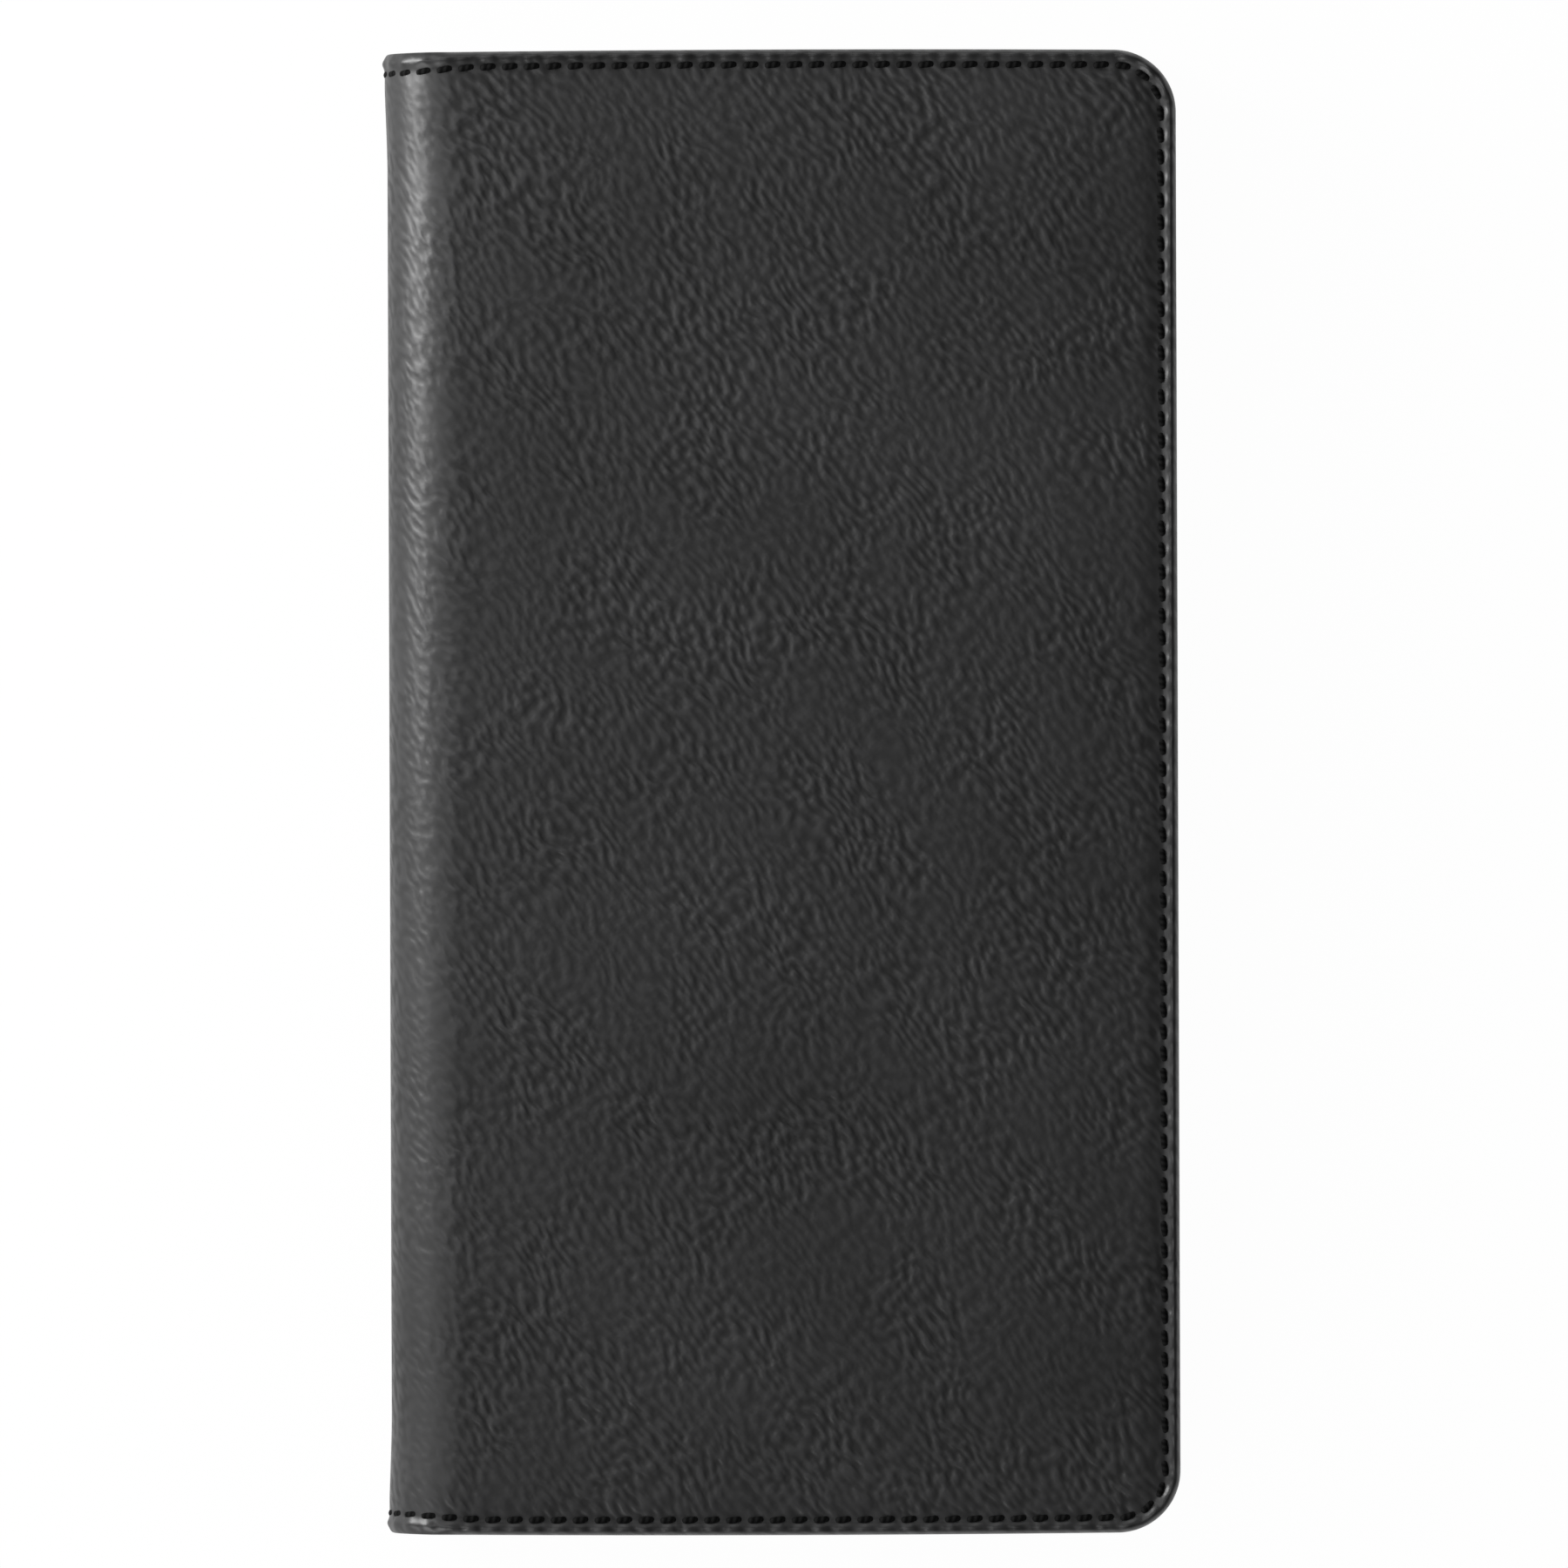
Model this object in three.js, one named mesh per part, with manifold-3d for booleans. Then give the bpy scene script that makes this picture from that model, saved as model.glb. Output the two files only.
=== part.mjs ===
// A long credit card holder that opens like a book: two stiffened leather covers joined by a soft,
// half-round fold. Inside each cover are a note pocket and two banks of stepped card slots.
// Millimetres, +Z up. The holder lies closed on its back cover, with the fold along its -X side.

import * as THREE from "three";
import { mergeVertices } from "three/addons/utils/BufferGeometryUtils.js";
import Module from "manifold-3d";

const wasm = await Module();
wasm.setup();

// The card and the slots that hold it
const CARD_LENGTH = 85.6; // the long side of a bank card, which lies along Y
const CARD_CLEARANCE = 1.2; // free space at each end of the card
const CARD_SPACE = 0.9; // free height in a slot
const SLOT_DEPTH = 46; // from a slot's mouth to the seam that stops the card
const SLOT_STEP = 14; // from one mouth to the next
const SLOT_ROWS = 3; // slots in a bank
const MOUTH_MARGIN = 14; // from the edge of the fold to the first mouth
const MOUTH_RADIUS = 1.5; // corners of a mouth
const NOTE_SPACE = 0.6; // free height in the note pocket

// Materials, as sheet thicknesses
const COVER_SKIN = 1.0;
const BOARD_SHEET = 1.2;
const LINING_SHEET = 0.4;
const INNER_SHEET = 0.7;
const SLOT_SHEET = 0.6;
const TAPE_SHEET = 0.4;

// Seams, edges and clearances
const SEAM = 2.5; // sewn margin round a pocket
const BANK_GAP = 1.0; // between the two banks of slots
const EDGE_STEP = 1.5; // how far the cover stands out past the panels
const CORNER_RADIUS = 8; // outer corners of the covers
const EDGE_ROLL = 0.9; // rounding of the turned edge
const HEM = 6; // turned leather at the two ends of the fold
const BOND = 0.15; // glue line between layers
const FIT = 0.3; // clearance round a sheet inside the turned edge
const CLOSED_GAP = 0.6; // between the two inner faces when closed
const CREASE = 45 * (Math.PI / 180); // where the fold bends, from each cover's plane
const CREASE_GAP = 0.3; // parting of the leather at a crease
const BOARD_SETBACK = 3.0; // from the edge of the fold to the board
const LINING_RAMP = 2.6; // length over which the lining drops from the board into the fold
const MOUTH_SETBACK = 1.0; // from the edge of the fold to the note pocket's mouth

// Stitching
const STITCH_INSET = 2.0; // from the cover's edge to the seam line
const STITCH_PITCH = 2.8;
const CHANNEL_WIDTH = 0.9;
const CHANNEL_DEPTH = 0.6;
const THREAD_WIDTH = 0.52;
const THREAD_HEIGHT = 0.34;
const THREAD_TOP = 0.25; // depth of the thread's middle where it shows
const THREAD_HOLE = 0.38; // depth of the thread's middle at a needle hole
const THREAD_END = 0.6; // from a crease to the end of a thread

// Facets in an arc are twice these counts
const CORNER_STEPS = 3;
const CREASE_STEPS = 3;
const FOLD_STEPS = 6;
const FULL_TURN_FACETS = 48;

// Levels above the outer face of a cover
const BOARD_LOW = COVER_SKIN + BOND;
const BOARD_HIGH = BOARD_LOW + BOARD_SHEET;
const LINING_LOW = BOARD_HIGH + BOND;
const LINING_HIGH = LINING_LOW + LINING_SHEET;
const INNER_LOW = LINING_HIGH + NOTE_SPACE;
const INNER_HIGH = INNER_LOW + INNER_SHEET;
const SLOT_PITCH = CARD_SPACE + SLOT_SHEET;

// Overall sizes, worked out from the cards and the layers
const BANK = CARD_LENGTH + 2 * CARD_CLEARANCE + 2 * SEAM;
const HEIGHT = 2 * BANK + BANK_GAP + 2 * EDGE_STEP;
const THICKNESS = 2 * (INNER_HIGH + SLOT_ROWS * SLOT_PITCH) + CLOSED_GAP;
const FOLD_RADIUS = THICKNESS / 2;
const FLAT = MOUTH_MARGIN + (SLOT_ROWS - 1) * SLOT_STEP + SLOT_DEPTH + SEAM + EDGE_STEP;
const WIDTH = FOLD_RADIUS + FLAT;
const HALF_HEIGHT = HEIGHT / 2;
const EDGE_X = WIDTH / 2;
const FOLD_X = EDGE_X - FLAT;
const PANEL_END = EDGE_X - EDGE_STEP;
const PANEL_TOP = HALF_HEIGHT - EDGE_STEP;

// Radii of the layers in the fold
const TAPE_OUTER = FOLD_RADIUS - COVER_SKIN - BOND;
const TAPE_INNER = TAPE_OUTER - TAPE_SHEET;
const FOLD_LINING_OUTER = TAPE_INNER - BOND;
const FOLD_LINING_INNER = FOLD_LINING_OUTER - LINING_SHEET;

// Colour, roughness and metalness of each kind of material
const FINISHES = {
  leather: { color: 0x343434, roughness: 0.5, metalness: 0 },
  slotLeather: { color: 0x2c2c2c, roughness: 0.55, metalness: 0 },
  lining: { color: 0x1f2023, roughness: 0.9, metalness: 0 },
  board: { color: 0x8a7a63, roughness: 0.95, metalness: 0 },
  tape: { color: 0x2a2a2a, roughness: 0.95, metalness: 0 },
  thread: { color: 0x0d0d0d, roughness: 0.6, metalness: 0 },
};

function part(name, geometry, finish) {
  const mesh = new THREE.Mesh(geometry, new THREE.MeshStandardMaterial(FINISHES[finish]));
  mesh.name = name;
  return mesh;
}

// Solids for joining and cutting
function solid(geometry) {
  const bare = geometry.clone();
  bare.deleteAttribute("normal");
  bare.deleteAttribute("uv");
  const merged = mergeVertices(bare);
  const vertProperties = new Float32Array(merged.attributes.position.array);
  const triVerts = new Uint32Array(merged.index.array);
  return new wasm.Manifold(new wasm.Mesh({ numProp: 3, vertProperties, triVerts }));
}

function surface(body) {
  const mesh = body.getMesh();
  const geometry = new THREE.BufferGeometry();
  geometry.setAttribute("position", new THREE.BufferAttribute(mesh.vertProperties, 3));
  geometry.setIndex(new THREE.BufferAttribute(mesh.triVerts, 1));
  geometry.computeVertexNormals();
  return geometry;
}

// An outline with a radius at each corner: fold low, edge low, edge high, fold high
function outline(left, right, low, high, radii) {
  const shape = new THREE.Shape();
  const corners = [
    [left, low, 1, 1],
    [right, low, -1, 1],
    [right, high, -1, -1],
    [left, high, 1, -1],
  ];
  corners.forEach(([x, y, inwardX, inwardY], i) => {
    const radius = radii[i];
    const start = Math.PI * (1 + i / 2);
    shape.absarc(x + inwardX * radius, y + inwardY * radius, radius, start, start + Math.PI / 2);
  });
  return shape;
}

// The cover's outline drawn in by an inset on its three sewn sides
function coverOutline(left, inset) {
  const radius = CORNER_RADIUS - inset;
  const top = HALF_HEIGHT - inset;
  return outline(left, EDGE_X - inset, -top, top, [0, radius, radius, 0]);
}

function prism(shape, low, high) {
  const options = { depth: high - low, bevelEnabled: false, curveSegments: CORNER_STEPS };
  return new THREE.ExtrudeGeometry(shape, options).translate(0, 0, low);
}

// A profile in the XZ plane drawn out along Y, the same length each way
function lengthwise(profile, halfLength, steps) {
  const options = { depth: 2 * halfLength, bevelEnabled: false, curveSegments: steps };
  const drawn = new THREE.ExtrudeGeometry(profile, options);
  return drawn.rotateX(Math.PI / 2).translate(0, halfLength, 0);
}

// A point of the fold: the angle runs from the back cover's plane round to the front cover's
function foldPoint(angle, radius) {
  const x = FOLD_X - radius * Math.sin(angle);
  const z = FOLD_RADIUS - radius * Math.cos(angle);
  return new THREE.Vector2(x, z);
}

// A wedge of the fold between two angles, for cutting a ring into stretches
function foldWedge(from, to) {
  const reach = 2 * FOLD_RADIUS;
  const rim = [from, (from + to) / 2, to].map((angle) => foldPoint(angle, reach));
  const wedge = new THREE.Shape([foldPoint(0, 0), ...rim]);
  return solid(lengthwise(wedge, HEIGHT, 1));
}

// The thin slot that parts the leather at a crease
function creaseSlot(angle) {
  const slot = new THREE.BoxGeometry(CREASE_GAP, 2 * HEIGHT, 4 * FOLD_RADIUS);
  return solid(slot.rotateY(angle).translate(FOLD_X, 0, FOLD_RADIUS));
}

// The leather of the fold as a whole ring, with rolled ends, hems and stitch channels
function foldRing() {
  const skin = FOLD_RADIUS - COVER_SKIN;
  const floor = FOLD_RADIUS - CHANNEL_DEPTH;
  const roll = FOLD_RADIUS - EDGE_ROLL;
  const seam = HALF_HEIGHT - STITCH_INSET;
  const half = CHANNEL_WIDTH / 2;
  const profile = new THREE.Path();
  profile.absarc(roll, EDGE_ROLL - HALF_HEIGHT, EDGE_ROLL, -Math.PI / 2, 0);
  for (const y of [-seam, seam]) {
    profile.lineTo(FOLD_RADIUS, y - half);
    profile.lineTo(floor, y - half);
    profile.lineTo(floor, y + half);
    profile.lineTo(FOLD_RADIUS, y + half);
  }
  profile.absarc(roll, HALF_HEIGHT - EDGE_ROLL, EDGE_ROLL, 0, Math.PI / 2);
  profile.lineTo(TAPE_INNER, HALF_HEIGHT);
  profile.lineTo(TAPE_INNER, HALF_HEIGHT - HEM);
  profile.lineTo(skin, HALF_HEIGHT - HEM);
  profile.lineTo(skin, HEM - HALF_HEIGHT);
  profile.lineTo(TAPE_INNER, HEM - HALF_HEIGHT);
  profile.lineTo(TAPE_INNER, -HALF_HEIGHT);
  profile.closePath();
  const ring = new THREE.LatheGeometry(profile.getPoints(CORNER_STEPS), FULL_TURN_FACETS);
  return solid(ring.translate(FOLD_X, 0, FOLD_RADIUS));
}

// A curved sheet in the middle stretch of the fold
function foldSheet(outer, inner, halfLength) {
  const down = 1.5 * Math.PI;
  const profile = new THREE.Shape();
  profile.absarc(FOLD_X, FOLD_RADIUS, outer, down - CREASE, CREASE + Math.PI / 2, true);
  profile.absarc(FOLD_X, FOLD_RADIUS, inner, CREASE + Math.PI / 2, down - CREASE, false);
  const sheet = solid(lengthwise(profile, halfLength, FOLD_STEPS));
  return surface(sheet.subtract(creaseSlot(CREASE)).subtract(creaseSlot(Math.PI - CREASE)));
}

// A cover: the skin with its turned edge and stitch channel, curling into the fold up to the crease
function coverLeather() {
  const past = FOLD_X - HEM;
  const rolled = new THREE.ExtrudeGeometry(coverOutline(past, 0), {
    depth: LINING_HIGH - 2 * EDGE_ROLL,
    bevelThickness: EDGE_ROLL,
    bevelSize: EDGE_ROLL,
    bevelOffset: -EDGE_ROLL,
    bevelSegments: CORNER_STEPS,
    curveSegments: CORNER_STEPS,
  }).translate(0, 0, EDGE_ROLL);
  const beside = outline(past - HEM, FOLD_X, -HEIGHT, HEIGHT, [0, 0, 0, 0]);
  const tray = prism(coverOutline(past, COVER_SKIN), COVER_SKIN, THICKNESS);
  const channelOuter = prism(coverOutline(past, STITCH_INSET - CHANNEL_WIDTH / 2), -COVER_SKIN, CHANNEL_DEPTH);
  const channelInner = prism(coverOutline(past, STITCH_INSET + CHANNEL_WIDTH / 2), -COVER_SKIN, CHANNEL_DEPTH);
  const flat = solid(rolled)
    .subtract(solid(prism(beside, -THICKNESS, THICKNESS)))
    .subtract(solid(tray))
    .subtract(solid(channelOuter).subtract(solid(channelInner)));
  const overlap = FIT / FOLD_RADIUS;
  const curl = foldRing().intersect(foldWedge(-overlap, CREASE)).subtract(creaseSlot(CREASE));
  return surface(flat.add(curl));
}

function stiffenerBoard() {
  const inset = COVER_SKIN + FIT;
  return prism(coverOutline(FOLD_X + BOARD_SETBACK, inset), BOARD_LOW, BOARD_HIGH);
}

// The lining lies on the board, drops past its edge and follows the fold to the crease
function lining() {
  const inset = COVER_SKIN + FIT;
  const down = 1.5 * Math.PI;
  const profile = new THREE.Shape();
  profile.moveTo(EDGE_X, LINING_LOW);
  profile.lineTo(FOLD_X + LINING_RAMP, LINING_LOW);
  profile.absarc(FOLD_X, FOLD_RADIUS, FOLD_LINING_OUTER, down, down - CREASE, true);
  profile.absarc(FOLD_X, FOLD_RADIUS, FOLD_LINING_INNER, down - CREASE, down, false);
  profile.lineTo(FOLD_X + LINING_RAMP, LINING_HIGH);
  profile.lineTo(EDGE_X, LINING_HIGH);
  profile.closePath();
  const sheet = solid(lengthwise(profile, HALF_HEIGHT, CREASE_STEPS));
  const trim = solid(prism(coverOutline(FOLD_X - FOLD_RADIUS, inset), 0, THICKNESS));
  return surface(sheet.intersect(trim).subtract(creaseSlot(CREASE)));
}

// The note pocket's panel, sewn down on three sides and open towards the fold
function innerPanel() {
  const mouth = FOLD_X + MOUTH_SETBACK;
  const slab = solid(prism(coverOutline(mouth, EDGE_STEP), LINING_HIGH + BOND, INNER_HIGH));
  const pocket = solid(prism(coverOutline(mouth - SEAM, EDGE_STEP + SEAM), 0, INNER_LOW));
  return surface(slab.subtract(pocket));
}

// One card slot: row 0 has its mouth nearest the fold, and each later row lies on top of the one before.
// Every row runs out to the edge seam, and a cross seam at its own depth stops the card.
function cardSlot(row, upper) {
  const mouth = FOLD_X + MOUTH_MARGIN + row * SLOT_STEP;
  const stop = mouth + SLOT_DEPTH;
  const under = INNER_HIGH + row * SLOT_PITCH;
  const ceiling = under + CARD_SPACE;
  const top = ceiling + SLOT_SHEET;
  const near = BANK_GAP / 2;
  const outerRadius = CORNER_RADIUS - EDGE_STEP;
  const span = upper ? [near, PANEL_TOP] : [-PANEL_TOP, -near];
  const radii = upper
    ? [MOUTH_RADIUS, 0, outerRadius, MOUTH_RADIUS]
    : [MOUTH_RADIUS, outerRadius, 0, MOUTH_RADIUS];
  const slab = prism(outline(mouth, PANEL_END, ...span, radii), under + BOND, top);
  const inside = [span[0] + SEAM, span[1] - SEAM];
  const pocket = prism(outline(mouth - SEAM, stop, ...inside, [0, 0, 0, 0]), under, ceiling);
  const slot = solid(slab).subtract(solid(pocket));
  if (row === SLOT_ROWS - 1) return surface(slot);
  const radius = CORNER_RADIUS - EDGE_STEP - SEAM;
  const spareRadii = upper ? [0, 0, radius, 0] : [0, radius, 0, 0];
  const spare = prism(outline(stop + SEAM, PANEL_END - SEAM, ...inside, spareRadii), under, ceiling);
  return surface(slot.subtract(solid(spare)));
}

// A place on the cover given by its flat pattern: u from the edge of the fold, v along Y, depth below the skin
function onCover(u, v, depth) {
  if (u >= 0) return new THREE.Vector3(FOLD_X + u, v, depth);
  const place = foldPoint(-u / FOLD_RADIUS, FOLD_RADIUS - depth);
  return new THREE.Vector3(place.x, v, place.y);
}

// A thread along a path in the flat pattern, high on each stitch and low at each needle hole
function thread(path) {
  const stitches = Math.max(1, Math.round(path.getLength() / STITCH_PITCH));
  const places = path.getSpacedPoints(2 * stitches);
  const corners = [[1, 1], [-1, 1], [-1, -1], [1, -1]];
  const rings = places.map((place, i) => {
    const depth = i % 2 ? THREAD_TOP : THREAD_HOLE;
    const middle = onCover(place.x, place.y, depth);
    const before = places[Math.max(i - 1, 0)];
    const after = places[Math.min(i + 1, places.length - 1)];
    const along = onCover(after.x, after.y, depth).sub(onCover(before.x, before.y, depth)).normalize();
    const inward = onCover(place.x, place.y, 1).sub(onCover(place.x, place.y, 0)).normalize();
    const across = inward.clone().cross(along).normalize();
    return corners.map(([a, b]) => middle.clone()
      .addScaledVector(across, (a * THREAD_WIDTH) / 2)
      .addScaledVector(inward, (b * THREAD_HEIGHT) / 2));
  });
  return loft(rings);
}

// A closed tube through rings of four corners each
function loft(rings) {
  const sides = rings[0].length;
  const last = (rings.length - 1) * sides;
  const index = [];
  for (let i = 0; i < rings.length - 1; i++) {
    for (let k = 0; k < sides; k++) {
      const a = i * sides + k;
      const b = i * sides + ((k + 1) % sides);
      index.push(a, b, a + sides, b, b + sides, a + sides);
    }
  }
  for (let k = 1; k < sides - 1; k++) {
    index.push(0, k + 1, k, last, last + k, last + k + 1);
  }
  const geometry = new THREE.BufferGeometry().setFromPoints(rings.flat());
  geometry.setIndex(index);
  geometry.computeVertexNormals();
  return geometry;
}

// The seam of a cover: from the crease along the lower edge, round the outer edge and back to the crease
function coverSeam() {
  const start = THREAD_END - FOLD_RADIUS * CREASE;
  const radius = CORNER_RADIUS - STITCH_INSET;
  const far = FLAT - STITCH_INSET;
  const turn = far - radius;
  const top = HALF_HEIGHT - STITCH_INSET;
  const path = new THREE.CurvePath();
  path.add(new THREE.LineCurve(new THREE.Vector2(start, -top), new THREE.Vector2(turn, -top)));
  path.add(new THREE.EllipseCurve(turn, radius - top, radius, radius, -Math.PI / 2, 0));
  path.add(new THREE.LineCurve(new THREE.Vector2(far, radius - top), new THREE.Vector2(far, top - radius)));
  path.add(new THREE.EllipseCurve(turn, top - radius, radius, radius, 0, Math.PI / 2));
  path.add(new THREE.LineCurve(new THREE.Vector2(turn, top), new THREE.Vector2(start, top)));
  return thread(path);
}

// The seam across one end of the fold
function foldSeam(side) {
  const from = -FOLD_RADIUS * CREASE - THREAD_END;
  const to = -FOLD_RADIUS * (Math.PI - CREASE) + THREAD_END;
  const y = side * (HALF_HEIGHT - STITCH_INSET);
  const path = new THREE.CurvePath();
  path.add(new THREE.LineCurve(new THREE.Vector2(from, y), new THREE.Vector2(to, y)));
  return thread(path);
}

// One cover with everything sewn to it, outer face down
function half(side) {
  const group = new THREE.Group();
  group.add(part(`${side}_cover_leather`, coverLeather(), "leather"));
  group.add(part(`${side}_stiffener_board`, stiffenerBoard(), "board"));
  group.add(part(`${side}_lining`, lining(), "lining"));
  group.add(part(`${side}_inner_panel`, innerPanel(), "slotLeather"));
  for (let row = 0; row < SLOT_ROWS; row++) {
    group.add(part(`${side}_upper_card_slot_${row + 1}`, cardSlot(row, true), "slotLeather"));
    group.add(part(`${side}_lower_card_slot_${row + 1}`, cardSlot(row, false), "slotLeather"));
  }
  group.add(part(`${side}_seam_thread`, coverSeam(), "thread"));
  return group;
}

// The middle stretch of the fold, between its two creases
function spine() {
  const group = new THREE.Group();
  const stretch = foldRing()
    .intersect(foldWedge(CREASE, Math.PI - CREASE))
    .subtract(creaseSlot(CREASE))
    .subtract(creaseSlot(Math.PI - CREASE));
  const tape = foldSheet(TAPE_OUTER, TAPE_INNER, HALF_HEIGHT - HEM - FIT);
  const foldLining = foldSheet(FOLD_LINING_OUTER, FOLD_LINING_INNER, HALF_HEIGHT - COVER_SKIN - FIT);
  group.add(part("spine_leather", surface(stretch), "leather"));
  group.add(part("spine_reinforcement_tape", tape, "tape"));
  group.add(part("spine_lining", foldLining, "lining"));
  group.add(part("spine_upper_seam_thread", foldSeam(1), "thread"));
  group.add(part("spine_lower_seam_thread", foldSeam(-1), "thread"));
  return group;
}

const holder = new THREE.Group();
const front = half("front");
front.scale.z = -1;
front.position.z = THICKNESS;
holder.add(half("back"), front, spine());

export default holder;
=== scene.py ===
"""A long black leather card holder: stitched, grained covers round a soft fold, and the card slots inside.

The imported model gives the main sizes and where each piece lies. This file adds the skins, threads, linings
and finishes.
"""

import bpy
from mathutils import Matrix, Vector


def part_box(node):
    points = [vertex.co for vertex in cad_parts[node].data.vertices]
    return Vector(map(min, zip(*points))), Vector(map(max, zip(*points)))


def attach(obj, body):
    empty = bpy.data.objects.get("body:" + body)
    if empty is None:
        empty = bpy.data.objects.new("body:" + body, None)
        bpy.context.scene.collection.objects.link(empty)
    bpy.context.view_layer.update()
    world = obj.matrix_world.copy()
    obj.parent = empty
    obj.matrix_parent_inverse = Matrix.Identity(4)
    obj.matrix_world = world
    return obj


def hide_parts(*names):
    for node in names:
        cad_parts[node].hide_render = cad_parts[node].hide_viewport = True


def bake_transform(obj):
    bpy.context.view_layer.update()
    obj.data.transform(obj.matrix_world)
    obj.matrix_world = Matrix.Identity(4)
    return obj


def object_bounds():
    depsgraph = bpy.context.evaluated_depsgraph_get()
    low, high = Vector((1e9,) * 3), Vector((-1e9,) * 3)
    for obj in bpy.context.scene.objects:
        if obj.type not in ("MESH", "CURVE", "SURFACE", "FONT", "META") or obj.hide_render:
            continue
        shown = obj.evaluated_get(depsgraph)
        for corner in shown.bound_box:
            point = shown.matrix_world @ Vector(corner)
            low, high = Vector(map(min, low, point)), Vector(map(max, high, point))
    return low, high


bl_info = {
    "name": "Leather Card Holder",
    "version": (1, 0, 0),
    "blender": (4, 5, 0),
    "location": "View3D > Sidebar > Card Holder",
    "description": "Dresses the packed card holder in stitched, grained leather",
    "category": "Object",
}

import math

import bpy
import numpy as np
from mathutils import Vector

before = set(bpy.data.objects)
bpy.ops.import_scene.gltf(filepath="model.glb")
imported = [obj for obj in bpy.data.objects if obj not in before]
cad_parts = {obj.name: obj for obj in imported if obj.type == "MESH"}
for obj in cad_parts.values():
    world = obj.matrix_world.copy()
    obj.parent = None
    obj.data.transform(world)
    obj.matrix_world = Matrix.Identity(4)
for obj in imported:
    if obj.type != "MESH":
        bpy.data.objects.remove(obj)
CAD_LOW, CAD_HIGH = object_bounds()
MM = 0.001

# Main sizes, from the bounds of the imported model
THICKNESS = CAD_HIGH.z - CAD_LOW.z
HALF_HEIGHT = CAD_HIGH.y
FOLD_RADIUS = THICKNESS / 2
FOLD_X = CAD_LOW.x + FOLD_RADIUS
FLAT = CAD_HIGH.x - FOLD_X
QUARTER_TURN = math.pi / 2
MID_FOLD = -FOLD_RADIUS * QUARTER_TURN
BOARD_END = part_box("back_stiffener_board")[1].x

# Layers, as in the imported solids
BOND = 0.15 * MM  # glue between two layers
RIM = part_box("back_inner_panel")[0].z - BOND  # how high the turned edge of a cover stands
LINING_SHEET = 0.4 * MM
TAPE_SHEET = 0.4 * MM
GLUED_SKIN = 1.15 * MM  # the cover's leather and the glue under it
TAPE_OUTER = FOLD_RADIUS - GLUED_SKIN
SLOT_SHEET = 0.6 * MM
INNER_SHEET = 0.7 * MM
SEAM = 2.5 * MM  # width of a sewn margin
JOIN = 0.04 * MM  # narrow strip where two halves meet in the middle of the fold
BODIES = {"back": "back_half", "front": "front_half"}
BANKS = ("upper", "lower")
ROWS = (1, 2, 3)

# Soft forms of the leather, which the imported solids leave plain
FLARE_TURN = math.radians(40)  # bend of the fold over which its flared ends come in
FLARE_REACH = 16 * MM  # length of each end of the fold that flares
END_BOW = 0.25 * MM  # how far a cover's ends bow in at their corners
SEAM_DRIFT = 0.6 * MM  # how far the seam moves in from the end, over the fold
DRIFT_INSET = 2 * MM  # inset at which it moves the most
FOLD_START = 5 * MM  # where the leather begins to ease into the fold
FOLD_EASE = 14 * MM  # width over which it does
SEAM_FADE = 9 * MM  # width of fold over which the seam grows shallow
HEM_FADE = 4 * MM  # width of fold over which the turned edge grows thin
WAVES = ((41, 0.4, 0.3), (29, 1.9, 2.1), (57, 1.2, 4.0), (19, 2.6, 1.1))  # length in mm, direction, start
WAVE_HEIGHT = 0.022 * MM

# Stitches
THREAD_FLATNESS = 0.36  # half the height of a stitch, as a share of its width
COVER_STITCH_SINK = 0.24 * MM
COVER_STITCH_LIFT = 0.1 * MM  # how much higher a stitch lies over the fold
COVER_STITCH_SLANT = math.radians(7)
SLOT_STITCH_INSET = 1.4 * MM
SLOT_STITCH_LENGTH = 1.9 * MM
SLOT_STITCH_SINK = 0.08 * MM
SLOT_THREAD = 0.5 * MM


# Settings that a user may change


def length_setting(name, description, default):
    """A length in metres."""
    return bpy.props.FloatProperty(
        name=name, description=description, default=default, unit="LENGTH", precision=5)


def colour_setting(name, description, default):
    """A colour of red, green and blue shares."""
    return bpy.props.FloatVectorProperty(
        name=name, description=description, default=default, subtype="COLOR", min=0, max=1)


class HolderSizes(bpy.types.PropertyGroup):
    """Sizes of the sewn leather"""

    corner_radius: length_setting("Corner radius", "Radius of the covers' outer corners", 8 * MM)
    stitch_pitch: length_setting("Stitch pitch", "Distance from one stitch to the next", 2.8 * MM)
    stitch_inset: length_setting("Stitch inset", "Distance from the cover's edge to the seam", 2.0 * MM)
    stitch_length: length_setting("Stitch length", "Length of thread that shows in one stitch", 2.35 * MM)
    thread_width: length_setting("Thread width", "Width of the sewing thread", 0.8 * MM)
    channel_depth: length_setting("Seam depth", "How far the seam draws the leather down", 0.34 * MM)
    bead_height: length_setting("Bead height", "How far the turned edge stands up beside the seam", 0.26 * MM)
    edge_roll: length_setting("Edge roll", "Width of the rounded, turned edge", 0.75 * MM)
    crown: length_setting("Crown", "How far the middle of a cover swells", 0.2 * MM)
    flare: length_setting("Fold flare", "How far the hemmed ends of the fold stand out", 0.4 * MM)
    grid: length_setting("Skin grid", "Spacing of the points in the cover skins", 0.7 * MM)


class HolderColours(bpy.types.PropertyGroup):
    """Colours of the leather, cloth and thread"""

    cover: colour_setting("Cover leather", "Black of the grained covers", (0.011, 0.011, 0.0113))
    panel: colour_setting("Slot leather", "Black of the smooth leather inside", (0.015, 0.015, 0.0155))
    lining: colour_setting("Lining", "Black of the woven lining", (0.011, 0.011, 0.0125))
    thread: colour_setting("Thread", "Black of the sewing thread", (0.004, 0.004, 0.004))
    board: colour_setting("Board", "Grey-brown of the pressed board", (0.25, 0.2, 0.13))


# Grids whose outer rings run parallel to a sheet's edges and round its corners


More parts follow.
